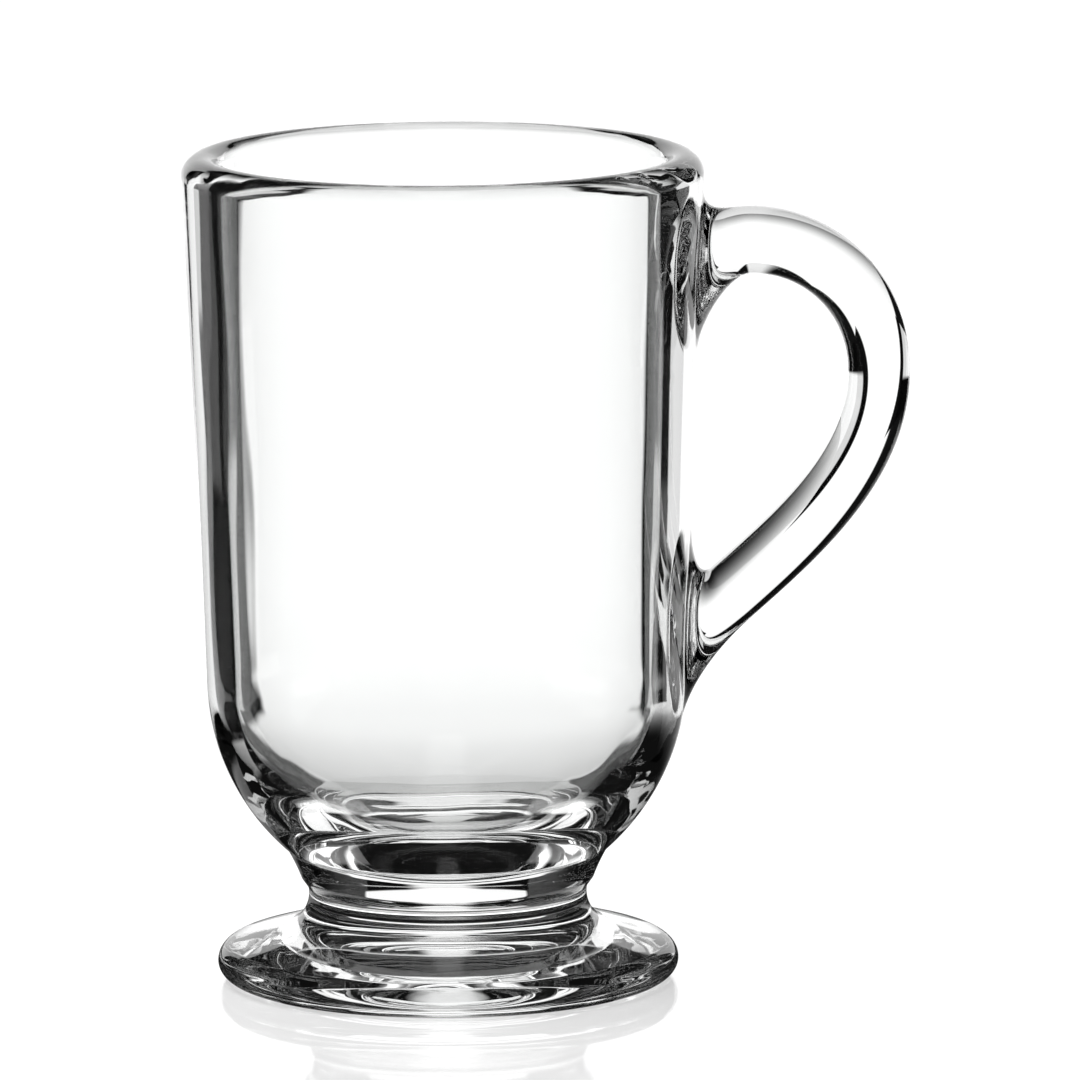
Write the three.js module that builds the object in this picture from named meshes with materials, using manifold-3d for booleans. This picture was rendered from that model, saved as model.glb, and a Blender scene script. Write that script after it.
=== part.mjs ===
// Clear footed glass mug: a round-bottomed bowl on a short stem and foot, with one loop handle.
// Millimetres, +Z up, the mug's axis parallel to Z, the handle towards +X.
import * as THREE from 'three';
import { mergeVertices } from 'three/addons/utils/BufferGeometryUtils.js';
import Module from 'manifold-3d';

// Whole mug
const HEIGHT = 128;
const RIM_RADIUS = 40;

// Bowl, outside
const LIP_THICKNESS = 6.2;
const LIP_INNER_ROUND = 2.8;
const WALL_LOW_HEIGHT = 46.6;
const WALL_LOW_RADIUS = 37;
const WALL_LEAN = 0.029;
const BOTTOM_ROUND = 36.2;
const CREASE_RADIUS = 24.7;

// Bowl, inside
const CAVITY_LOW_HEIGHT = 46;
const CAVITY_LOW_RADIUS = 32.6;
const CAVITY_FLOOR_HEIGHT = 20;

// Stem
const BEAD_RADIUS = 22.55;
const BEAD_HEIGHT = 15.9;
const WAIST_RADIUS = 21.4;
const WAIST_HEIGHT = 13.3;
const WAIST_ROUND = 5.6;

// Foot
const FOOT_RADIUS = 35.5;
const FOOT_EDGE_ROUND = 2.9;
const FOOT_SLOPE = THREE.MathUtils.degToRad(16);
const REST_RADIUS = 32;
const HOLLOW_RADIUS = 24;
const HOLLOW_DEPTH = 5;

// Handle: its centre line runs from the upper seam round to the lower seam
const UPPER_SEAM_BELOW_RIM = 13.6;
const UPPER_SEAM_OUT = 7;
const LOWER_SEAM_HEIGHT = 59.9;
const LOWER_SEAM_OUT = 7;
const LOWER_SLOPE = THREE.MathUtils.degToRad(41.5);
const HANDLE_REACH = 26.6;
const REACH_SHARE = 0.63;
const HANDLE_WIDTH = 11;
const UPPER_THICKNESS = 10.3;
const MIDDLE_THICKNESS = 9.5;
const LOWER_THICKNESS = 9.8;
const SECTION_SQUARENESS = 2.6;

// Roots: the flared pads of the bowl that the handle's ends meet
const ROOT_WIDTH = 17;
const UPPER_ROOT_BELOW_RIM = 18.2;
const UPPER_ROOT_HALF_HEIGHT = 12.6;
const LOWER_ROOT_BELOW_SEAM = 4.4;
const LOWER_ROOT_HALF_HEIGHT = 16.5;
const ROOT_SINK = 0.4;

// Fineness of the curved faces
const TURN_STEPS = 60;
const CURVE_STEPS = 4;
const SECTION_STEPS = 20;
const HANDLE_STEPS = 30;
const ROOT_STEPS = 6;

const wasm = await Module();
wasm.setup();

const lipOuterRound = LIP_THICKNESS - LIP_INNER_ROUND;
const wallTopHeight = HEIGHT - lipOuterRound;
const leanAngle = Math.atan(WALL_LEAN);
const bottomCentre = new THREE.Vector2(
  WALL_LOW_RADIUS - BOTTOM_ROUND * Math.cos(leanAngle),
  WALL_LOW_HEIGHT + BOTTOM_ROUND * Math.sin(leanAngle),
);

// Outer radius of the bowl at a height: the leaning, slightly flared wall, or the round bottom below it.
function wallRadius(height) {
  if (height < WALL_LOW_HEIGHT) {
    const drop = bottomCentre.y - height;
    return bottomCentre.x + Math.sqrt(BOTTOM_ROUND ** 2 - drop ** 2);
  }
  const rise = height - WALL_LOW_HEIGHT;
  const wallHeight = wallTopHeight - WALL_LOW_HEIGHT;
  const flare = RIM_RADIUS - WALL_LOW_RADIUS - WALL_LEAN * wallHeight;
  return WALL_LOW_RADIUS + WALL_LEAN * rise + flare * (rise / wallHeight) ** 2;
}

// A profile in radius and height, turned about the Z axis into a closed solid.
function turned(profile) {
  const lathe = new THREE.LatheGeometry(profile.getPoints(CURVE_STEPS), TURN_STEPS);
  lathe.deleteAttribute('normal');
  lathe.deleteAttribute('uv');
  lathe.rotateX(Math.PI / 2);
  return withoutSlivers(mergeVertices(lathe, 1e-4));
}

// The same triangles without the ones that a merge has closed up.
function withoutSlivers(geometry) {
  const kept = [];
  const corners = geometry.index.array;
  for (let i = 0; i < corners.length; i += 3) {
    const [a, b, c] = [corners[i], corners[i + 1], corners[i + 2]];
    if (a !== b && b !== c && c !== a) {
      kept.push(a, b, c);
    }
  }
  geometry.setIndex(kept);
  return geometry;
}

function bowlProfile() {
  const profile = new THREE.Path();
  profile.moveTo(0, BEAD_HEIGHT);
  profile.lineTo(BEAD_RADIUS, BEAD_HEIGHT);
  const creaseAngle = -Math.acos((CREASE_RADIUS - bottomCentre.x) / BOTTOM_ROUND);
  profile.absarc(bottomCentre.x, bottomCentre.y, BOTTOM_ROUND, creaseAngle, -leanAngle, false);
  profile.quadraticCurveTo(
    WALL_LOW_RADIUS + WALL_LEAN * (wallTopHeight - WALL_LOW_HEIGHT) / 2,
    (WALL_LOW_HEIGHT + wallTopHeight) / 2,
    RIM_RADIUS,
    wallTopHeight,
  );
  profile.absarc(RIM_RADIUS - lipOuterRound, wallTopHeight, lipOuterRound, 0, Math.PI / 2, false);
  const lipInnerRadius = RIM_RADIUS - LIP_THICKNESS;
  profile.absarc(
    lipInnerRadius + LIP_INNER_ROUND,
    HEIGHT - LIP_INNER_ROUND,
    LIP_INNER_ROUND,
    Math.PI / 2,
    Math.PI,
    false,
  );
  profile.lineTo(CAVITY_LOW_RADIUS, CAVITY_LOW_HEIGHT);
  profile.absellipse(
    0,
    CAVITY_LOW_HEIGHT,
    CAVITY_LOW_RADIUS,
    CAVITY_LOW_HEIGHT - CAVITY_FLOOR_HEIGHT,
    0,
    -Math.PI / 2,
    true,
  );
  return profile;
}

// The hollow curve of the waist ends where it runs into the foot's sloping top.
const waistCentre = new THREE.Vector2(WAIST_RADIUS + WAIST_ROUND, WAIST_HEIGHT);
const footSeam = new THREE.Vector2(
  waistCentre.x - WAIST_ROUND * Math.sin(FOOT_SLOPE),
  waistCentre.y - WAIST_ROUND * Math.cos(FOOT_SLOPE),
);

function stemProfile() {
  const profile = new THREE.Path();
  profile.moveTo(0, footSeam.y);
  profile.lineTo(footSeam.x, footSeam.y);
  profile.absarc(
    waistCentre.x,
    waistCentre.y,
    WAIST_ROUND,
    1.5 * Math.PI - FOOT_SLOPE,
    Math.PI,
    true,
  );
  profile.lineTo(BEAD_RADIUS, BEAD_HEIGHT);
  profile.lineTo(0, BEAD_HEIGHT);
  return profile;
}

function footProfile() {
  const edgeCentreRadius = FOOT_RADIUS - FOOT_EDGE_ROUND;
  const slopeDrop = (edgeCentreRadius - footSeam.x) * Math.tan(FOOT_SLOPE);
  const edgeHeight = footSeam.y - slopeDrop - FOOT_EDGE_ROUND / Math.cos(FOOT_SLOPE);
  const hollowRound = (HOLLOW_RADIUS ** 2 + HOLLOW_DEPTH ** 2) / (2 * HOLLOW_DEPTH);
  const hollowCentre = HOLLOW_DEPTH - hollowRound;
  const profile = new THREE.Path();
  profile.moveTo(0, HOLLOW_DEPTH);
  profile.absarc(0, hollowCentre, hollowRound, Math.PI / 2, Math.asin(-hollowCentre / hollowRound), true);
  profile.lineTo(REST_RADIUS, 0);
  profile.absellipse(
    REST_RADIUS,
    edgeHeight,
    FOOT_RADIUS - REST_RADIUS,
    edgeHeight,
    -Math.PI / 2,
    0,
    false,
  );
  profile.absarc(
    edgeCentreRadius,
    edgeHeight,
    FOOT_EDGE_ROUND,
    0,
    Math.PI / 2 - FOOT_SLOPE,
    false,
  );
  profile.lineTo(footSeam.x, footSeam.y);
  profile.lineTo(0, footSeam.y);
  return profile;
}

// Centre line of the handle in the XZ plane: two curves that meet upright at the farthest reach.
const upperSeam = new THREE.Vector2(RIM_RADIUS + UPPER_SEAM_OUT, HEIGHT - UPPER_SEAM_BELOW_RIM);
const lowerSeam = new THREE.Vector2(WALL_LOW_RADIUS + LOWER_SEAM_OUT, LOWER_SEAM_HEIGHT);
const handleSpan = upperSeam.y - lowerSeam.y;
const reach = new THREE.Vector2(RIM_RADIUS + HANDLE_REACH, lowerSeam.y + REACH_SHARE * handleSpan);
const lowerRun = new THREE.Vector2(Math.cos(LOWER_SLOPE), Math.sin(LOWER_SLOPE));
const centreLine = new THREE.CurvePath();
centreLine.add(new THREE.CubicBezierCurve(
  upperSeam,
  new THREE.Vector2(upperSeam.x + 0.19 * handleSpan, upperSeam.y),
  new THREE.Vector2(reach.x, reach.y + 0.22 * handleSpan),
  reach,
));
centreLine.add(new THREE.CubicBezierCurve(
  reach,
  new THREE.Vector2(reach.x, reach.y - 0.27 * handleSpan),
  lowerSeam.clone().addScaledVector(lowerRun, 0.24 * handleSpan),
  lowerSeam,
));

function thicknessAt(share) {
  const middle = 0.4;
  if (share < middle) {
    return THREE.MathUtils.lerp(UPPER_THICKNESS, MIDDLE_THICKNESS, share / middle);
  }
  return THREE.MathUtils.lerp(MIDDLE_THICKNESS, LOWER_THICKNESS, (share - middle) / (1 - middle));
}

// One rounded-square section of the handle, square to the centre line; its first point faces outwards.
function handleSection(share) {
  const centre = centreLine.getPointAt(share);
  const along = centreLine.getTangentAt(share);
  const halfThickness = thicknessAt(share) / 2;
  const ring = [];
  for (let i = 0; i < SECTION_STEPS; i += 1) {
    const angle = 2 * Math.PI * i / SECTION_STEPS;
    const out = halfThickness * rounded(Math.cos(angle));
    const side = HANDLE_WIDTH / 2 * rounded(Math.sin(angle));
    ring.push(new THREE.Vector3(centre.x - along.y * out, side, centre.y + along.x * out));
  }
  return ring;
}

function rounded(value) {
  return Math.sign(value) * Math.abs(value) ** (2 / SECTION_SQUARENESS);
}

// An oval ring on the bowl's wall, moved into the glass by a depth; its first point faces up or down.
function wallRing(centreHeight, halfHeight, share, firstUp, depth) {
  const ring = [];
  for (let i = 0; i < SECTION_STEPS; i += 1) {
    const angle = 2 * Math.PI * i / SECTION_STEPS;
    const height = centreHeight + firstUp * share * halfHeight * Math.cos(angle);
    const radius = wallRadius(height);
    const turn = share * ROOT_WIDTH / 2 * Math.sin(angle) / radius;
    ring.push(new THREE.Vector3(
      (radius - depth) * Math.cos(turn),
      (radius - depth) * Math.sin(turn),
      height,
    ));
  }
  return ring;
}

// A flared pad from inside the wall out to a section of the handle.
function root(section, outward, centreHeight, halfHeight, firstUp, spread, pull) {
  const inside = wallRing(centreHeight, halfHeight, 1, firstUp, LIP_THICKNESS / 2);
  const edge = wallRing(centreHeight, halfHeight, 1, firstUp, ROOT_SINK);
  const towardsMiddle = wallRing(centreHeight, halfHeight, 1 - spread, firstUp, -ROOT_SINK / 2);
  const curves = section.map((corner, i) => {
    const gap = (corner.x - wallRadius(centreHeight)) / outward.x;
    const before = corner.clone().addScaledVector(outward, -pull * gap);
    return new THREE.CubicBezierCurve3(edge[i], towardsMiddle[i], before, corner);
  });
  const rings = [inside, edge];
  for (let step = 1; step < ROOT_STEPS; step += 1) {
    rings.push(curves.map((curve) => curve.getPoint(step / ROOT_STEPS)));
  }
  rings.push(section);
  return loft(firstUp > 0 ? rings : rings.reverse());
}

// A closed solid through rings of equal length, with a flat fan over each end.
function loft(rings) {
  const size = rings[0].length;
  const points = rings.flat();
  const faces = [];
  for (let level = 0; level + 1 < rings.length; level += 1) {
    for (let i = 0; i < size; i += 1) {
      const next = (i + 1) % size;
      const a = level * size + i;
      const b = level * size + next;
      faces.push(a, b + size, b, a, a + size, b + size);
    }
  }
  const last = (rings.length - 1) * size;
  const startCentre = points.push(middleOf(rings[0])) - 1;
  const endCentre = points.push(middleOf(rings[rings.length - 1])) - 1;
  for (let i = 0; i < size; i += 1) {
    const next = (i + 1) % size;
    faces.push(startCentre, i, next, endCentre, last + next, last + i);
  }
  const geometry = new THREE.BufferGeometry().setFromPoints(points);
  geometry.setIndex(faces);
  return geometry;
}

function middleOf(ring) {
  const sum = new THREE.Vector3();
  ring.forEach((point) => sum.add(point));
  return sum.divideScalar(ring.length);
}

function toManifold(geometry) {
  const vertProperties = new Float32Array(geometry.attributes.position.array);
  const triVerts = new Uint32Array(geometry.index.array);
  return new wasm.Manifold(new wasm.Mesh({ numProp: 3, vertProperties, triVerts }));
}

function fromManifold(solid) {
  const mesh = solid.getMesh();
  const geometry = new THREE.BufferGeometry();
  geometry.setAttribute('position', new THREE.BufferAttribute(mesh.vertProperties, 3));
  geometry.setIndex(new THREE.BufferAttribute(mesh.triVerts, 1));
  return geometry;
}

const sections = [];
for (let step = 0; step <= HANDLE_STEPS; step += 1) {
  sections.push(handleSection(step / HANDLE_STEPS));
}

const upperRoot = root(
  sections[0],
  new THREE.Vector3(1, 0, 0),
  HEIGHT - UPPER_ROOT_BELOW_RIM,
  UPPER_ROOT_HALF_HEIGHT,
  1,
  0.35,
  0.42,
);
const lowerRoot = root(
  sections[HANDLE_STEPS],
  new THREE.Vector3(lowerRun.x, 0, lowerRun.y),
  LOWER_SEAM_HEIGHT - LOWER_ROOT_BELOW_SEAM,
  LOWER_ROOT_HALF_HEIGHT,
  -1,
  0.35,
  0.6,
);
const bowl = toManifold(turned(bowlProfile()))
  .add(toManifold(upperRoot))
  .add(toManifold(lowerRoot));

const mug = new THREE.Group();
mug.name = 'mug';
// The origin is under the middle of the whole outline, handle included.
mug.position.x = (RIM_RADIUS - (reach.x + MIDDLE_THICKNESS / 2)) / 2;

function addPiece(name, geometry) {
  const glass = new THREE.MeshStandardMaterial({
    color: 0xf2f6f5,
    roughness: 0.04,
    metalness: 0,
    transparent: true,
    opacity: 0.35,
  });
  const piece = new THREE.Mesh(geometry, glass);
  piece.name = name;
  mug.add(piece);
}

addPiece('bowl', fromManifold(bowl));
addPiece('stem', turned(stemProfile()));
addPiece('foot', turned(footProfile()));
addPiece('handle', loft(sections));

const part = new THREE.Group();
part.name = 'footed_glass_mug';
part.add(mug);

export default part;
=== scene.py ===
"""A clear footed glass mug on a pale studio floor, seen at the photograph's angle."""

import math

import bpy
import numpy as np
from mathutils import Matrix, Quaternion, Vector


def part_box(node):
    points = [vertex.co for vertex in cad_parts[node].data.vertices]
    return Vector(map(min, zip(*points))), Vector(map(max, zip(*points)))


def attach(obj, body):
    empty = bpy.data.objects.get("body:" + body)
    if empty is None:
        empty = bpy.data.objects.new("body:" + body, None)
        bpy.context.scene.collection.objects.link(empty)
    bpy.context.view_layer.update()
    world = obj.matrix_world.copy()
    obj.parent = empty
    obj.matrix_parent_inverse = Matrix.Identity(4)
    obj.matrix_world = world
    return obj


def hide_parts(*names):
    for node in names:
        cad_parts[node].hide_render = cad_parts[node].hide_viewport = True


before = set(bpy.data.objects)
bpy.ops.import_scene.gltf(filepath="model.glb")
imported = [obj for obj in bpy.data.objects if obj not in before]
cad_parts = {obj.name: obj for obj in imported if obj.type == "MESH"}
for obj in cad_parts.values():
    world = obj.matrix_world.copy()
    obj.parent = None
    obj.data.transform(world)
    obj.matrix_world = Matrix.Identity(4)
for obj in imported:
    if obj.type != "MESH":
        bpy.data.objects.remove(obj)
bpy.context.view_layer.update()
foot_low, foot_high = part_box("foot")
axis_x = (foot_low.x + foot_high.x) / 2

# Lengths of the mug in millimetres, angles in degrees; heights are above the floor
HEIGHT = 128.0
RIM_RADIUS = 40.0
LIP_THICKNESS = 6.2
LIP_INNER_ROUND = 2.8
LIP_OUTER_ROUND = LIP_THICKNESS - LIP_INNER_ROUND
WALL_TOP_HEIGHT = HEIGHT - LIP_OUTER_ROUND
WALL_LOW_HEIGHT = 46.6
WALL_LOW_RADIUS = 37.0
WALL_LEAN = 0.029
BOTTOM_ROUND = 36.2
CREASE_RADIUS = 24.7
CAVITY_LOW_HEIGHT = 46.0
CAVITY_LOW_RADIUS = 32.6
CAVITY_FLOOR_HEIGHT = 20.0
BEAD_RADIUS = 22.55
BEAD_HEIGHT = 15.9
BEAD_HOLLOW = 0.15
WAIST_RADIUS = 21.4
WAIST_HEIGHT = 13.3
WAIST_ROUND = 5.6
WAIST_START = 12.0
FOOT_RADIUS = 35.5
FOOT_EDGE_ROUND = 2.9
FOOT_SLOPE = 16.0
REST_RADIUS = 32.0
HOLLOW_RADIUS = 24.0
HOLLOW_DEPTH = 5.0
HANDLE_WIDTH = 11.0
HANDLE_THICKNESS = ((0.0, 10.3), (0.4, 9.5), (1.0, 9.8))
SECTION_SQUARENESS = 2.1
UPPER_SEAM = (RIM_RADIUS + 7.0, HEIGHT - 13.6)
LOWER_SEAM = (WALL_LOW_RADIUS + 7.0, 59.9)
LOWER_SLOPE = 41.5
HANDLE_SPAN = UPPER_SEAM[1] - LOWER_SEAM[1]
HANDLE_REACH = (RIM_RADIUS + 26.6, LOWER_SEAM[1] + 0.63 * HANDLE_SPAN)
# How far the handle's curve holds its direction at its two ends and on both sides of its outermost point
UPPER_PULL = 0.19 * HANDLE_SPAN
CREST_PULLS = (0.22 * HANDLE_SPAN, 0.27 * HANDLE_SPAN)
LOWER_PULL = 0.24 * HANDLE_SPAN
ROOT_HALF_WIDTH = 8.5
UPPER_ROOT = {"height": HEIGHT - 18.2, "half": 12.6, "top": 123.6, "foot": 94.5, "pull": 0.42}
LOWER_ROOT = {"height": LOWER_SEAM[1] - 4.4, "half": 16.5, "top": 75.5, "foot": 36.0, "pull": 0.6}
ROOT_SPREAD = 0.35
ROOT_SQUARENESS = 2.2

# Fineness of the meshes, in faces round the mug or along each stretch
TURNS = 384
CAVITY_FLOOR_STEPS = 60
CAVITY_WALL_STEPS = 70
LIP_INNER_STEPS = 12
LIP_OUTER_STEPS = 24
LIP_ROWS = 2
ROOT_COLUMNS = 15
ROOT_ROWS = 30
MIDDLE_ROWS = 15
BOTTOM_STEPS = 40
BEAD_STEPS = 14
NECK_STEPS = 8
WAIST_STEPS = 26
FOOT_TOP_STEPS = 12
FOOT_EDGE_STEPS = 20
REST_STEPS = 5
HOLLOW_STEPS = 49
FLARE_STEPS = 26
CURVE_STEPS = 200
HANDLE_RINGS = 120
RING_POINTS = 4 * ROOT_COLUMNS + 2 * ROOT_ROWS

leaning = math.atan(WALL_LEAN)
bottom_centre = (
    WALL_LOW_RADIUS - BOTTOM_ROUND * math.cos(leaning),
    WALL_LOW_HEIGHT + BOTTOM_ROUND * math.sin(leaning),
)


def wall_radius(height):
    """Outer radius of the bowl: the leaning wall, or the round bottom below it."""
    height = np.asarray(height, float)
    drop = np.minimum(height, bottom_centre[1]) - bottom_centre[1]
    low = bottom_centre[0] + np.sqrt(np.maximum(BOTTOM_ROUND**2 - drop**2, 0))
    above = height - WALL_LOW_HEIGHT
    wall = WALL_TOP_HEIGHT - WALL_LOW_HEIGHT
    flare = RIM_RADIUS - WALL_LOW_RADIUS - WALL_LEAN * wall
    high = WALL_LOW_RADIUS + WALL_LEAN * above + flare * (above / wall) ** 2
    return np.where(height >= WALL_LOW_HEIGHT, high, low)


def bezier(start, first, second, end, steps):
    """Points of a cubic curve, without its start."""
    t = np.linspace(0, 1, steps + 1)[1:, None]
    corners = [np.asarray(p, float) for p in (start, first, second, end)]
    shares = ((1 - t) ** 3, 3 * (1 - t) ** 2 * t, 3 * (1 - t) * t**2, t**3)
    return sum(s * c for s, c in zip(shares, corners))


def arc(centre, radii, start, end, steps):
    """Points of an ellipse's arc in radius and height, without its start; angles in radians."""
    turn = np.linspace(start, end, steps + 1)[1:]
    return np.c_[centre[0] + radii[0] * np.cos(turn), centre[1] + radii[1] * np.sin(turn)]


def bowl_inside():
    """Radius and height from the cavity's floor up to the lip's top."""
    depth = CAVITY_LOW_HEIGHT - CAVITY_FLOOR_HEIGHT
    centre = (0, CAVITY_LOW_HEIGHT)
    floor = arc(centre, (CAVITY_LOW_RADIUS, depth), -math.pi / 2, 0, CAVITY_FLOOR_STEPS)
    start = np.array((CAVITY_LOW_RADIUS, CAVITY_LOW_HEIGHT))
    end = np.array((RIM_RADIUS - LIP_THICKNESS, HEIGHT - LIP_INNER_ROUND))
    wall = start + np.linspace(0, 1, CAVITY_WALL_STEPS + 1)[1:, None] * (end - start)
    round_centre = end + np.array((LIP_INNER_ROUND, 0))
    lip = arc(round_centre, (LIP_INNER_ROUND,) * 2, math.pi, math.pi / 2, LIP_INNER_STEPS)
    return np.vstack([floor, wall, lip])


def bowl_outside(root_heights):
    """Radius and height from the lip's top down the wall and the round bottom to the bead."""
    lip_centre = (RIM_RADIUS - LIP_OUTER_ROUND, WALL_TOP_HEIGHT)
    lip = arc(lip_centre, (LIP_OUTER_ROUND,) * 2, math.pi / 2, 0, LIP_OUTER_STEPS)
    wall = np.c_[wall_radius(root_heights), root_heights]
    start = math.asin((root_heights[-1] - bottom_centre[1]) / BOTTOM_ROUND)
    end = -math.acos((CREASE_RADIUS - bottom_centre[0]) / BOTTOM_ROUND)
    low = arc(bottom_centre, (BOTTOM_ROUND,) * 2, start, end, BOTTOM_STEPS)
    bead = np.array((BEAD_RADIUS, BEAD_HEIGHT))
    inward = np.array((-BEAD_HOLLOW, 0))
    first = low[-1] + 0.33 * (bead - low[-1]) + inward
    second = low[-1] + 0.66 * (bead - low[-1]) + inward
    return np.vstack([lip, wall, low, bezier(low[-1], first, second, bead, BEAD_STEPS)])


waist_centre = np.array((WAIST_RADIUS + WAIST_ROUND, WAIST_HEIGHT))


def stem_side():
    """Radius and height from the bead down the hollow waist to the foot's sloping top."""
    bead = np.array((BEAD_RADIUS, BEAD_HEIGHT))
    turn = math.radians(180 - WAIST_START)
    start = waist_centre + WAIST_ROUND * np.array((math.cos(turn), math.sin(turn)))
    across = start - bead
    neck = bezier(bead, bead + 0.4 * across, bead + 0.7 * across, start, NECK_STEPS)
    end = math.radians(270 - FOOT_SLOPE)
    return np.vstack([neck, arc(waist_centre, (WAIST_ROUND,) * 2, turn, end, WAIST_STEPS)])


def foot_side(seam):
    """Radius and height from the stem out over the foot's edge and in under it."""
    slope = math.radians(FOOT_SLOPE)
    edge_radius = FOOT_RADIUS - FOOT_EDGE_ROUND
    drop = (edge_radius - seam[0]) * math.tan(slope)
    edge = (edge_radius, seam[1] - drop - FOOT_EDGE_ROUND / math.cos(slope))
    top_end = np.array(edge) + FOOT_EDGE_ROUND * np.array((math.sin(slope), math.cos(slope)))
    top = seam + np.linspace(0, 1, FOOT_TOP_STEPS + 1)[1:, None] * (top_end - seam)
    nose = arc(edge, (FOOT_EDGE_ROUND,) * 2, math.pi / 2 - slope, 0, FOOT_EDGE_STEPS)
    under = (REST_RADIUS, edge[1])
    heel = arc(under, (FOOT_RADIUS - REST_RADIUS, edge[1]), 0, -math.pi / 2, FOOT_EDGE_STEPS)
    flat = np.linspace(REST_RADIUS, HOLLOW_RADIUS, REST_STEPS + 1)[1:]
    rest = np.c_[flat, np.zeros(REST_STEPS)]
    radius = np.linspace(HOLLOW_RADIUS, 0, HOLLOW_STEPS + 1)[1:-1]
    hollow = np.c_[radius, HOLLOW_DEPTH * (1 - (radius / HOLLOW_RADIUS) ** 2)]
    return np.vstack([top, nose, heel, rest, hollow])


def centre_line():
    """Points and directions of the handle's middle, from its upper seam to its lower one."""
    run = np.array((math.cos(math.radians(LOWER_SLOPE)), math.sin(math.radians(LOWER_SLOPE))))
    reach = np.array(HANDLE_REACH)
    upper = np.array(UPPER_SEAM)
    lower = np.array(LOWER_SEAM)
    out = upper + np.array((UPPER_PULL, 0))
    above = reach + np.array((0, CREST_PULLS[0]))
    below = reach - np.array((0, CREST_PULLS[1]))
    fine = np.vstack([
        [upper],
        bezier(upper, out, above, reach, CURVE_STEPS),
        bezier(reach, below, lower + LOWER_PULL * run, lower, CURVE_STEPS),
    ])
    length = np.r_[0, np.cumsum(np.hypot(*np.diff(fine, axis=0).T))]
    at = np.linspace(0, length[-1], HANDLE_RINGS)
    slope = np.gradient(fine, length, axis=0)
    middle = np.c_[np.interp(at, length, fine[:, 0]), np.interp(at, length, fine[:, 1])]
    along = np.c_[np.interp(at, length, slope[:, 0]), np.interp(at, length, slope[:, 1])]
    return middle, along / np.hypot(along[:, 0], along[:, 1])[:, None]


ring_turn = 2 * np.pi * np.arange(RING_POINTS) / RING_POINTS


def oval(half_up, half_side, squareness):
    """A rounded ring about the origin as two columns: up, and to the side."""
    c, s = np.cos(ring_turn), np.sin(ring_turn)
    power = 2 / squareness
    up = half_up * np.sign(c) * np.abs(c) ** power
    return up, half_side * np.sign(s) * np.abs(s) ** power


def handle_rings():
    middle, along = centre_line()
    share = np.linspace(0, 1, HANDLE_RINGS)
    thickness = np.interp(share, *zip(*HANDLE_THICKNESS))
    rings = []
    for (x, z), (dx, dz), thick in zip(middle, along, thickness):
        out, side = oval(thick / 2, HANDLE_WIDTH / 2, SECTION_SQUARENESS)
        rings.append(np.c_[x - dz * out, side, z + dx * out])
    return rings, along


points = []
faces = {"bowl": [], "stem": [], "foot": [], "handle": []}
seams = {"bowl": [], "stem": [], "foot": [], "handle": []}


def add_points(rows):
    first = len(points)
    points.extend(map(tuple, rows))
    return np.arange(first, len(points))


def add_turn(radius, height):
    """A full ring of points about the mug's axis."""
    turn = 2 * np.pi * np.arange(TURNS) / TURNS
    return add_points(np.c_[radius * np.cos(turn), radius * np.sin(turn), np.full(TURNS, height)])


def join(name, before, after):
    """A band of four-sided faces between two closed rings."""
    for i in range(len(before)):
        k = (i + 1) % len(before)
        faces[name].append((before[i], after[i], after[k], before[k]))


def on_wall(height, side):
    radius = wall_radius(height)
    return np.c_[radius * np.cos(side / radius), radius * np.sin(side / radius), height]


def root_border(block):
    """Points round a handle root's block of the wall: along its top, down, back and up again."""
    top, foot = block
    m = ROOT_COLUMNS
    border = [(top, i) for i in range(m)]
    border += [(j, m) for j in range(top, foot)]
    border += [(foot, i) for i in range(m, -m, -1)]
    border += [(j, -m) for j in range(foot, top, -1)]
    border += [(top, i) for i in range(-m, 0)]
    return border


def root_rings(root, border, profile, section, outward):
    """Rings from a block's border over the wall and out along a flare to a section of the handle."""
    heights = np.array([profile[j][1] for j, i in border])
    sides = np.array([i for j, i in border]) * 2 * np.pi / TURNS * wall_radius(heights)
    up, side = oval(root["half"], ROOT_HALF_WIDTH, ROOT_SQUARENESS)
    rings = []
    for share in (0.25, 0.5, 0.75, 1.0):
        height = heights + share * (root["height"] + up - heights)
        rings.append(on_wall(height, sides + share * (side - sides)))
    inner = 1 - ROOT_SPREAD
    towards_middle = on_wall(root["height"] + inner * up, inner * side)
    gap = (section[:, :1] - wall_radius(root["height"])) / abs(outward[0])
    before = section - root["pull"] * gap * outward
    edge = rings[-1]
    for t in np.linspace(0, 1, FLARE_STEPS + 1)[1:-1]:
        rings.append(
            (1 - t) ** 3 * edge
            + 3 * (1 - t) ** 2 * t * towards_middle
            + 3 * (1 - t) * t**2 * before
            + t**3 * section
        )
    return rings


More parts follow.
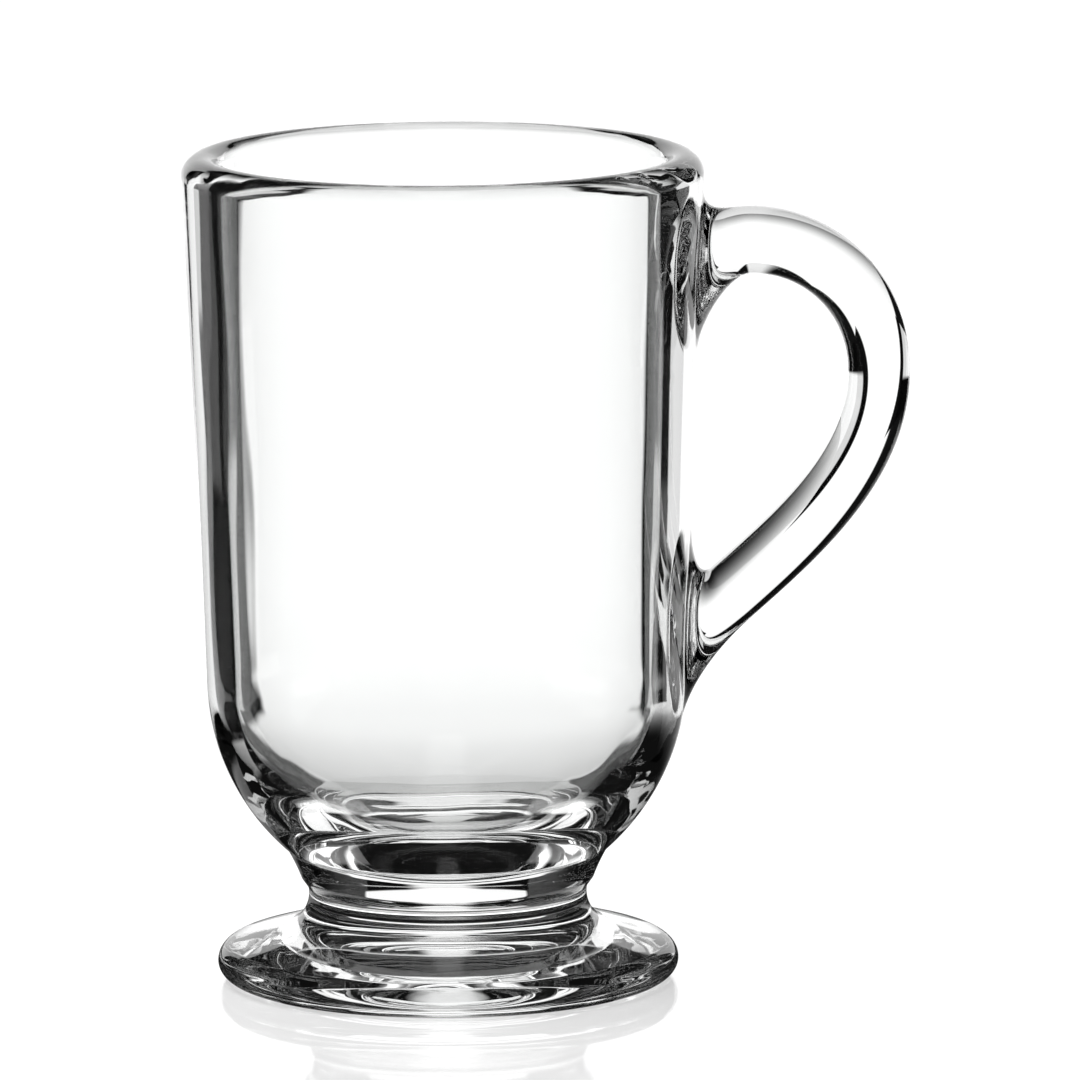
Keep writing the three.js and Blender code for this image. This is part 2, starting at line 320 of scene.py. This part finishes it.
def build_mug():
    """Fills the points, each piece's faces and the rings at which the pieces meet."""
    heights = np.concatenate([
        np.linspace(WALL_TOP_HEIGHT, UPPER_ROOT["top"], LIP_ROWS + 1)[1:],
        np.linspace(UPPER_ROOT["top"], UPPER_ROOT["foot"], ROOT_ROWS + 1)[1:],
        np.linspace(UPPER_ROOT["foot"], LOWER_ROOT["top"], MIDDLE_ROWS + 1)[1:],
        np.linspace(LOWER_ROOT["top"], LOWER_ROOT["foot"], ROOT_ROWS + 1)[1:],
    ])
    inside = bowl_inside()
    outside = bowl_outside(heights)
    bowl = np.vstack([inside, outside])
    upper_top = len(inside) + LIP_OUTER_STEPS + LIP_ROWS - 1
    lower_top = upper_top + ROOT_ROWS + MIDDLE_ROWS
    blocks = [(top, top + ROOT_ROWS) for top in (upper_top, lower_top)]
    stem = stem_side()
    foot = foot_side(stem[-1])

    centre = add_points([(0, 0, CAVITY_FLOOR_HEIGHT)])[0]
    turns = [add_turn(*row) for row in np.vstack([bowl, stem, foot])]
    bead_row = len(bowl) - 1
    foot_row = bead_row + len(stem)
    for i in range(TURNS):
        faces["bowl"].append((centre, turns[0][i], turns[0][(i + 1) % TURNS]))
    for row in range(len(turns) - 1):
        name = "bowl" if row < bead_row else "stem" if row < foot_row else "foot"
        if not any(top <= row < foot for top, foot in blocks):
            join(name, turns[row], turns[row + 1])
            continue
        for i in range(ROOT_COLUMNS, TURNS - ROOT_COLUMNS):
            a, b = turns[row], turns[row + 1]
            faces[name].append((a[i], b[i], b[i + 1], a[i + 1]))
    under = add_points([(0, 0, HOLLOW_DEPTH)])[0]
    for i in range(TURNS):
        faces["foot"].append((under, turns[-1][(i + 1) % TURNS], turns[-1][i]))
    seams["bowl"].append((turns[bead_row], (0, 0, -1)))
    seams["stem"].append((turns[bead_row], (0, 0, 1)))
    seams["stem"].append((turns[foot_row], (0, 0, -1)))
    seams["foot"].append((turns[foot_row], (0, 0, 1)))

    sections, along = handle_rings()
    tube = [add_points(section) for section in sections]
    flip = (RING_POINTS // 2 - np.arange(RING_POINTS)) % RING_POINTS
    start = np.array((along[0][0], 0, along[0][1]))
    end = np.array((along[-1][0], 0, along[-1][1]))
    ends = (
        (UPPER_ROOT, blocks[0], sections[0], tube[0], start),
        (LOWER_ROOT, blocks[1], sections[-1][flip], tube[-1][flip], -end),
    )
    for root, block, section, seam, outward in ends:
        border = root_border(block)
        chain = [np.array([turns[j][i] for j, i in border])]
        chain += [add_points(ring) for ring in root_rings(root, border, bowl, section, outward)]
        chain.append(seam)
        for before, after in zip(chain[:-1], chain[1:]):
            join("bowl", before, after)
        seams["bowl"].append((seam, tuple(outward)))
    for before, after in zip(tube[:-1], tube[1:]):
        join("handle", before, after)
    seams["handle"].append((tube[0], tuple(-start)))
    seams["handle"].append((tube[-1], tuple(end)))


def smooth_normals(spots):
    """A normal for every point, from all the faces round it, over the seams too."""
    total = np.zeros_like(spots)
    for name in faces:
        for size in (3, 4):
            chosen = np.array([f for f in faces[name] if len(f) == size], int)
            if not len(chosen):
                continue
            corners = spots[chosen]
            across = corners[:, -1] - corners[:, 1]
            flat = np.cross(corners[:, 2] - corners[:, 0], across)
            for column in range(size):
                np.add.at(total, chosen[:, column], flat)
    return total / np.maximum(np.linalg.norm(total, axis=1), 1e-12)[:, None]


def make_piece(name, spots, normals, materials):
    """One closed piece: its glass faces, and a flat unseen face over each seam."""
    sides = faces[name]
    caps = []
    for ring, facing in seams[name]:
        ring = list(ring)
        a, b, c = (spots[ring[i]] for i in (0, len(ring) // 3, 2 * len(ring) // 3))
        if np.dot(np.cross(b - a, c - a), facing) < 0:
            ring.reverse()
        caps.append((ring, facing))
    used = sorted({i for face in sides for i in face})
    place = {old: new for new, old in enumerate(used)}
    polygons = [[place[i] for i in face] for face in sides]
    polygons += [[place[i] for i in ring] for ring, _ in caps]
    mesh = bpy.data.meshes.new(name)
    mesh.from_pydata((spots[used] * 0.001 + np.array((axis_x, 0, 0))).tolist(), [], polygons)
    for material in materials:
        mesh.materials.append(material)
    mesh.polygons.foreach_set("use_smooth", np.ones(len(polygons), bool))
    slots = np.zeros(len(polygons), np.int32)
    slots[len(sides):] = 1
    mesh.polygons.foreach_set("material_index", slots)
    corner_normals = [tuple(normals[i]) for face in sides for i in face]
    corner_normals += [tuple(facing) for ring, facing in caps for _ in ring]
    mesh.normals_split_custom_set(corner_normals)
    piece = bpy.data.objects.new(name + "_glass", mesh)
    bpy.context.scene.collection.objects.link(piece)
    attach(piece, "root")
    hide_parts(name)


# The glass; the ripple's height, and how far from the axis it dies out, are in metres
GLASS_COLOUR = (0.985, 0.99, 0.987, 1)
GLASS_INDEX = 1.51
HAZE_SCALE = 60.0
HAZE_SPAN = (0.55, 0.8)
HAZE_ROUGHNESS = 0.03
RIPPLE_SCALE = 90.0
RIPPLE_STRETCH = 0.18
RIPPLE_HEIGHT = 0.0006
RIPPLE_STRENGTH = 0.35
RIPPLE_END = (0.037, 0.03)


def new_material(name):
    material = bpy.data.materials.new(name)
    material.use_nodes = True
    nodes = material.node_tree.nodes
    nodes.clear()
    return material, nodes, material.node_tree.links


def glass_material():
    """Clear pressed glass: faintly wavy up to the handle's side, with a trace of haze here and there."""
    material, nodes, links = new_material("clear_glass")
    output = nodes.new("ShaderNodeOutputMaterial")
    glass = nodes.new("ShaderNodeBsdfPrincipled")
    glass.inputs["Base Color"].default_value = GLASS_COLOUR
    glass.inputs["Transmission Weight"].default_value = 1.0
    glass.inputs["IOR"].default_value = GLASS_INDEX
    place = nodes.new("ShaderNodeTexCoord")
    stretch = nodes.new("ShaderNodeMapping")
    stretch.inputs["Scale"].default_value = (1.0, 1.0, RIPPLE_STRETCH)
    haze = nodes.new("ShaderNodeTexNoise")
    haze.inputs["Scale"].default_value = HAZE_SCALE
    haze.inputs["Detail"].default_value = 3.0
    level = nodes.new("ShaderNodeMapRange")
    level.inputs["From Min"].default_value = HAZE_SPAN[0]
    level.inputs["From Max"].default_value = HAZE_SPAN[1]
    level.inputs["To Min"].default_value = 0.0
    level.inputs["To Max"].default_value = HAZE_ROUGHNESS
    waves = nodes.new("ShaderNodeTexNoise")
    waves.inputs["Scale"].default_value = RIPPLE_SCALE
    waves.inputs["Detail"].default_value = 1.0
    bump = nodes.new("ShaderNodeBump")
    bump.inputs["Distance"].default_value = RIPPLE_HEIGHT
    split = nodes.new("ShaderNodeSeparateXYZ")
    links.new(place.outputs["Object"], split.inputs["Vector"])
    calm_x, wavy_x = (axis_x + x for x in RIPPLE_END)
    wavy = rise(nodes, links, split.outputs["X"], calm_x, wavy_x)
    links.new(maths(nodes, links, "MULTIPLY", wavy, RIPPLE_STRENGTH), bump.inputs["Strength"])
    links.new(place.outputs["Object"], haze.inputs["Vector"])
    links.new(place.outputs["Object"], stretch.inputs["Vector"])
    links.new(stretch.outputs["Vector"], waves.inputs["Vector"])
    links.new(haze.outputs["Fac"], level.inputs["Value"])
    links.new(level.outputs["Result"], glass.inputs["Roughness"])
    links.new(waves.outputs["Fac"], bump.inputs["Height"])
    links.new(bump.outputs["Normal"], glass.inputs["Normal"])
    links.new(glass.outputs["BSDF"], output.inputs["Surface"])
    return material


def seam_material():
    """The unseen face where two pieces of the same glass meet."""
    material, nodes, links = new_material("glass_seam")
    output = nodes.new("ShaderNodeOutputMaterial")
    clear = nodes.new("ShaderNodeBsdfTransparent")
    links.new(clear.outputs["BSDF"], output.inputs["Surface"])
    return material


def ramp(nodes, stops):
    """A brightness ramp through pairs of place and brightness."""
    node = nodes.new("ShaderNodeValToRGB")
    elements = node.color_ramp.elements
    while len(elements) < len(stops):
        elements.new(0.5)
    for element, (place, value) in zip(elements, stops):
        element.position = place
        element.color = (value, value, value, 1)
    return node


def maths(nodes, links, operation, *values):
    node = nodes.new("ShaderNodeMath")
    node.operation = operation
    for socket, value in zip(node.inputs, values):
        if isinstance(value, (int, float)):
            socket.default_value = value
        else:
            links.new(value, socket)
    return node.outputs["Value"]


def rise(nodes, links, value, low, high):
    """A smooth rise from 0 at one value to 1 at the other, which may be the smaller one."""
    node = nodes.new("ShaderNodeMapRange")
    node.interpolation_type = "SMOOTHSTEP"
    node.inputs["From Min"].default_value = low
    node.inputs["From Max"].default_value = high
    links.new(value, node.inputs["Value"])
    return node.outputs["Result"]


def between(nodes, links, value, span, soft):
    """1 between two values and 0 outside them, with soft edges."""
    low, high = span
    up = rise(nodes, links, value, low - soft, low + soft)
    down = rise(nodes, links, value, high + soft, high - soft)
    return maths(nodes, links, "MULTIPLY", up, down)


def polar(nodes, links, vector):
    """Bearing in degrees to the right of straight behind the mug, and the vector's three parts."""
    split = nodes.new("ShaderNodeSeparateXYZ")
    links.new(vector, split.inputs["Vector"])
    angle = maths(nodes, links, "ARCTAN2", split.outputs["X"], split.outputs["Y"])
    return maths(nodes, links, "DEGREES", angle), split.outputs


def cards(nodes, links, bearing, place, table, softness):
    """The light of several cards, each a span of bearings and a span of places the other way."""
    total = 0.0
    for bearings, span, light in table:
        around = between(nodes, links, bearing, bearings, CARD_SOFTNESS)
        along = between(nodes, links, place, span, softness)
        card = maths(nodes, links, "MULTIPLY", around, along)
        total = maths(nodes, links, "MULTIPLY_ADD", card, light, total)
    return total


def reach_of(distance):
    """A distance on the floor in millimetres, on the scale along which the floor's cards are laid."""
    return math.log10(distance * 0.001)


def floor_cards(nodes, links, bearing, reach, table):
    """The light of cards on the floor, whose far edges are the softer ones."""
    spans = []
    for bearings, distances, light in table:
        spans.append((bearings, [reach_of(distance) for distance in distances], light))
    return cards(nodes, links, bearing, reach, spans, REACH_SOFTNESS)


def through_bowl(nodes, links, path, bearing, reach):
    """1 for what lies past both walls, or past one and far off or in front of the mug; otherwise 0."""
    walls = maths(nodes, links, "GREATER_THAN", path.outputs["Transmission Depth"], BOTH_WALLS)
    distant = maths(nodes, links, "GREATER_THAN", reach, reach_of(FAR_OFF))
    turned = maths(nodes, links, "ABSOLUTE", bearing)
    aside = maths(nodes, links, "GREATER_THAN", turned, FRONT_BEARING)
    clear = maths(nodes, links, "GREATER_THAN", reach, reach_of(FRONT_START))
    front = maths(nodes, links, "MULTIPLY", aside, clear)
    return maths(nodes, links, "MAXIMUM", walls, maths(nodes, links, "MAXIMUM", distant, front))


def blend(nodes, links, share, first, second):
    """The first value where the share is 0, the second where it is 1."""
    node = nodes.new("ShaderNodeMix")
    links.new(share, node.inputs["Factor"])
    links.new(first, node.inputs["A"])
    links.new(second, node.inputs["B"])
    return node.outputs["Result"]


# Cards of light on the floor as the glass shows them: bearings in degrees from straight behind the mug,
# distances from its axis in millimetres, light
UNDER_FOOT = (((-130, 130), (23.5, 32.5), 1.6), ((-60, 60), (1, 22), 0.8))
FLOOR_CARDS = (
    ((-21.5, 24), (52, 9000), 1.2),
    ((-30, -21.5), (950, 9000), 0.7),
    ((-60, -26), (60, 105), 0.9),
    ((24, 42), (90, 1000), 0.85),
    ((42, 60), (90, 300), 0.8),
    ((88, 190), (150, 9000), 0.05),
    ((-190, -88), (150, 9000), 0.05),
)
BOWL_CARDS = (
    ((36, 80), (140, 640), 1.1),
    ((-80, -36), (140, 640), 1.1),
    ((48, 80), (70, 140), 1.0),
    ((-80, -48), (70, 140), 1.0),
    ((27, 36), (205, 640), 0.8),
    ((-36, -27), (205, 640), 0.8),
    ((80, 190), (34, 9000), 1.1),
    ((-190, -80), (34, 9000), 1.1),
)
CARD_SOFTNESS = 0.8
REACH_SOFTNESS = 0.03

# The strip behind the bowl, and the lane of one width that it becomes near the mug, in degrees and metres
BOWL_STRIP = (-20, 20)
BOWL_LANE = (-32, 32)
LANE_END_SOFTNESS = 2.0
LANE_HALF = 0.07
LANE_SOFTNESS = 0.008
BOWL_LIGHT = 1.25

# What counts as seen through the bowl: past the four surfaces of both walls, or so many millimetres off,
# or so many degrees round to the front; and as looked down on, from 0 straight down to 1 along the floor
BOTH_WALLS = 3.5
FAR_OFF = 250
FRONT_BEARING = 62.0
FRONT_START = 55
LOOKING_DOWN = 0.3

# The floor's light near the mug by distance, and the shade beside it, in metres
FLOOR_FADE = ((0.05, 0.6), (0.09, 0.74), (0.14, 0.86), (0.25, 0.95), (0.4, 1.0))
SHADE_CENTRE = (0.06, 0.04)
SHADE_REACH = (0.03, 0.2)

# Cards of light in the air: bearings and heights in degrees, light; the overhead one is narrow
SKY_CARDS = (((-25, 25), (-8, 22), 1.4), ((80, 120), (3, 12), 0.9), ((-120, -80), (3, 12), 0.9))
OVERHEAD_HALF = 0.13
OVERHEAD_SOFTNESS = 0.05
OVERHEAD_FRONT = (-0.5, -0.44)
OVERHEAD_FOOT = (20, 23)
OVERHEAD_LIGHT = 1.2
DARK_ROOM = 0.005

# The table as the camera sees it, half its size, and the gap that keeps it off the foot, in metres
TABLE_WHITE = 0.58
TABLE_MATT = 0.3
TABLE_GLOSS = 0.35
TABLE_ROUGHNESS = 0.05
TABLE_HALF = 6.0
TABLE_GAP = 0.00005

# The lamp that throws the shadow, placed from the mug's foot, in metres and watts
LAMP_PLACE = (-0.3, -0.2, 1.2)
LAMP_SIZE = 0.8
LAMP_POWER = 12.0

# The photograph's camera, in metres and degrees, aimed to the right of the axis and above the floor
CAMERA_AIM = (0.01454, 0.06803)
CAMERA_DISTANCE = 1.85
CAMERA_LIFT = 9.5
CAMERA_ROLL = -0.35
FOCAL_LENGTH_PIXELS = 12057
PHOTO_PIXELS = 1080
SENSOR_WIDTH = 36.0


def floor_light(nodes, links, path):
    """How bright the glass shows the floor: cards in a dark room, or paler where it is looked through."""
    place = nodes.new("ShaderNodeTexCoord")
    bearing, parts = polar(nodes, links, place.outputs["Object"])
    far = nodes.new("ShaderNodeVectorMath")
    far.operation = "LENGTH"
    links.new(place.outputs["Object"], far.inputs[0])
    reach = maths(nodes, links, "LOGARITHM", far.outputs["Value"], 10.0)
    fade = ramp(nodes, FLOOR_FADE)
    links.new(far.outputs["Value"], fade.inputs["Fac"])
    beside = nodes.new("ShaderNodeVectorMath")
    beside.operation = "DISTANCE"
    beside.inputs[1].default_value = (*SHADE_CENTRE, 0)
    links.new(place.outputs["Object"], beside.inputs[0])
    shade = rise(nodes, links, beside.outputs["Value"], *SHADE_REACH)
    shaded = maths(nodes, links, "MULTIPLY", shade, fade.outputs["Color"])
    outer = floor_cards(nodes, links, bearing, reach, FLOOR_CARDS)
    under = floor_cards(nodes, links, bearing, reach, UNDER_FOOT)
    room = maths(nodes, links, "MULTIPLY_ADD", outer, shaded, under)
    lit = maths(nodes, links, "ADD", room, DARK_ROOM)

    wide = floor_cards(nodes, links, bearing, reach, BOWL_CARDS)
    strip = between(nodes, links, bearing, BOWL_STRIP, CARD_SOFTNESS)
    lane = between(nodes, links, bearing, BOWL_LANE, LANE_END_SOFTNESS)
    band = between(nodes, links, parts["X"], (-LANE_HALF, LANE_HALF), LANE_SOFTNESS)
    behind = maths(nodes, links, "MAXIMUM", strip, maths(nodes, links, "MULTIPLY", lane, band))
    bowl = maths(nodes, links, "MULTIPLY_ADD", behind, BOWL_LIGHT, wide)
    pale = maths(nodes, links, "MULTIPLY", bowl, fade.outputs["Color"])

    straight = maths(nodes, links, "LESS_THAN", path.outputs["Glossy Depth"], 0.5)
    past = through_bowl(nodes, links, path, bearing, reach)
    through = maths(nodes, links, "MULTIPLY", past, straight)
    facing = nodes.new("ShaderNodeLayerWeight")
    steep = maths(nodes, links, "LESS_THAN", facing.outputs["Facing"], LOOKING_DOWN)
    above = maths(nodes, links, "MULTIPLY", steep, straight)
    level = blend(nodes, links, through, lit, pale)
    return blend(nodes, links, above, level, fade.outputs["Color"])


def floor_material():
    """A white, slightly glossy table; the glass shows it with a bright strip behind and dark sides."""
    material, nodes, links = new_material("floor")
    output = nodes.new("ShaderNodeOutputMaterial")
    path = nodes.new("ShaderNodeLightPath")
    in_glass = nodes.new("ShaderNodeEmission")
    links.new(floor_light(nodes, links, path), in_glass.inputs["Strength"])
    white = nodes.new("ShaderNodeEmission")
    white.inputs["Strength"].default_value = TABLE_WHITE
    matt = nodes.new("ShaderNodeBsdfDiffuse")
    matt.inputs["Color"].default_value = (TABLE_MATT, TABLE_MATT, TABLE_MATT, 1)
    gloss = nodes.new("ShaderNodeBsdfGlossy")
    gloss.inputs["Roughness"].default_value = TABLE_ROUGHNESS
    gloss.inputs["Color"].default_value = (TABLE_GLOSS, TABLE_GLOSS, TABLE_GLOSS, 1)
    table = nodes.new("ShaderNodeAddShader")
    links.new(matt.outputs["BSDF"], table.inputs[0])
    links.new(gloss.outputs["BSDF"], table.inputs[1])
    seen = nodes.new("ShaderNodeAddShader")
    links.new(white.outputs["Emission"], seen.inputs[0])
    links.new(table.outputs["Shader"], seen.inputs[1])
    either = nodes.new("ShaderNodeMixShader")
    links.new(path.outputs["Is Camera Ray"], either.inputs["Fac"])
    links.new(in_glass.outputs["Emission"], either.inputs[1])
    links.new(seen.outputs["Shader"], either.inputs[2])
    links.new(either.outputs["Shader"], output.inputs["Surface"])
    return material


def light_world():
    """A dark room, white to the camera, with cards of light behind, beside and above the mug."""
    world = bpy.data.worlds.new("studio")
    bpy.context.scene.world = world
    world.use_nodes = True
    nodes = world.node_tree.nodes
    links = world.node_tree.links
    nodes.clear()
    output = nodes.new("ShaderNodeOutputWorld")
    path = nodes.new("ShaderNodeLightPath")
    place = nodes.new("ShaderNodeTexCoord")
    bearing, parts = polar(nodes, links, place.outputs["Generated"])
    height = maths(nodes, links, "DEGREES", maths(nodes, links, "ARCSINE", parts["Z"]))
    low = cards(nodes, links, bearing, height, SKY_CARDS, CARD_SOFTNESS)
    narrow = between(nodes, links, parts["X"], (-OVERHEAD_HALF, OVERHEAD_HALF), OVERHEAD_SOFTNESS)
    behind = rise(nodes, links, parts["Y"], *OVERHEAD_FRONT)
    raised = rise(nodes, links, height, *OVERHEAD_FOOT)
    card = maths(nodes, links, "MULTIPLY", maths(nodes, links, "MULTIPLY", narrow, behind), raised)
    above = maths(nodes, links, "MULTIPLY_ADD", card, OVERHEAD_LIGHT, low)
    lit = maths(nodes, links, "ADD", above, DARK_ROOM)
    room = nodes.new("ShaderNodeBackground")
    links.new(lit, room.inputs["Strength"])
    white = nodes.new("ShaderNodeBackground")
    either = nodes.new("ShaderNodeMixShader")
    links.new(path.outputs["Is Camera Ray"], either.inputs["Fac"])
    links.new(room.outputs["Background"], either.inputs[1])
    links.new(white.outputs["Background"], either.inputs[2])
    links.new(either.outputs["Shader"], output.inputs["Surface"])


def make_floor():
    corners = [(x * TABLE_HALF, y * TABLE_HALF, 0) for x, y in ((-1, -1), (1, -1), (1, 1), (-1, 1))]
    mesh = bpy.data.meshes.new("floor")
    mesh.from_pydata(corners, [], [(0, 1, 2, 3)])
    mesh.materials.append(floor_material())
    floor = bpy.data.objects.new("floor", mesh)
    floor.location = (axis_x, 0, -TABLE_GAP)
    bpy.context.scene.collection.objects.link(floor)


def make_lamp():
    """A large soft lamp above, for the shadow on the table."""
    data = bpy.data.lights.new("lamp", "AREA")
    data.size = LAMP_SIZE
    data.energy = LAMP_POWER
    lamp = bpy.data.objects.new("lamp", data)
    middle = Vector((axis_x, 0, 0))
    lamp.location = middle + Vector(LAMP_PLACE)
    aim = middle - lamp.location
    lamp.rotation_mode = "QUATERNION"
    lamp.rotation_quaternion = aim.to_track_quat("-Z", "Y")
    lamp.visible_glossy = False
    lamp.visible_transmission = False
    bpy.context.scene.collection.objects.link(lamp)


def make_camera():
    """The photograph's view: from a little above, straight at the mug's side, through a long lens."""
    data = bpy.data.cameras.new("camera")
    data.sensor_width = SENSOR_WIDTH
    data.lens = SENSOR_WIDTH * FOCAL_LENGTH_PIXELS / PHOTO_PIXELS
    data.clip_end = 100.0
    camera = bpy.data.objects.new("camera", data)
    bpy.context.scene.collection.objects.link(camera)
    aim = Vector((axis_x + CAMERA_AIM[0], 0, CAMERA_AIM[1]))
    lift = math.radians(CAMERA_LIFT)
    camera.location = aim + CAMERA_DISTANCE * Vector((0, -math.cos(lift), math.sin(lift)))
    camera.rotation_mode = "QUATERNION"
    facing = (aim - camera.location).to_track_quat("-Z", "Y")
    camera.rotation_quaternion = facing @ Quaternion((0, 0, 1), math.radians(CAMERA_ROLL))
    bpy.context.scene.camera = camera


build_mug()
all_points = np.array(points)
all_normals = smooth_normals(all_points)
glass_and_seam = [glass_material(), seam_material()]
for piece_name in ("bowl", "handle", "stem", "foot"):
    make_piece(piece_name, all_points, all_normals, glass_and_seam)
make_floor()
make_lamp()
light_world()
make_camera()

scene = bpy.context.scene
scene.view_settings.view_transform = "Standard"
scene.cycles.max_bounces = 32
scene.cycles.glossy_bounces = 24
scene.cycles.transmission_bounces = 32
scene.cycles.transparent_max_bounces = 32
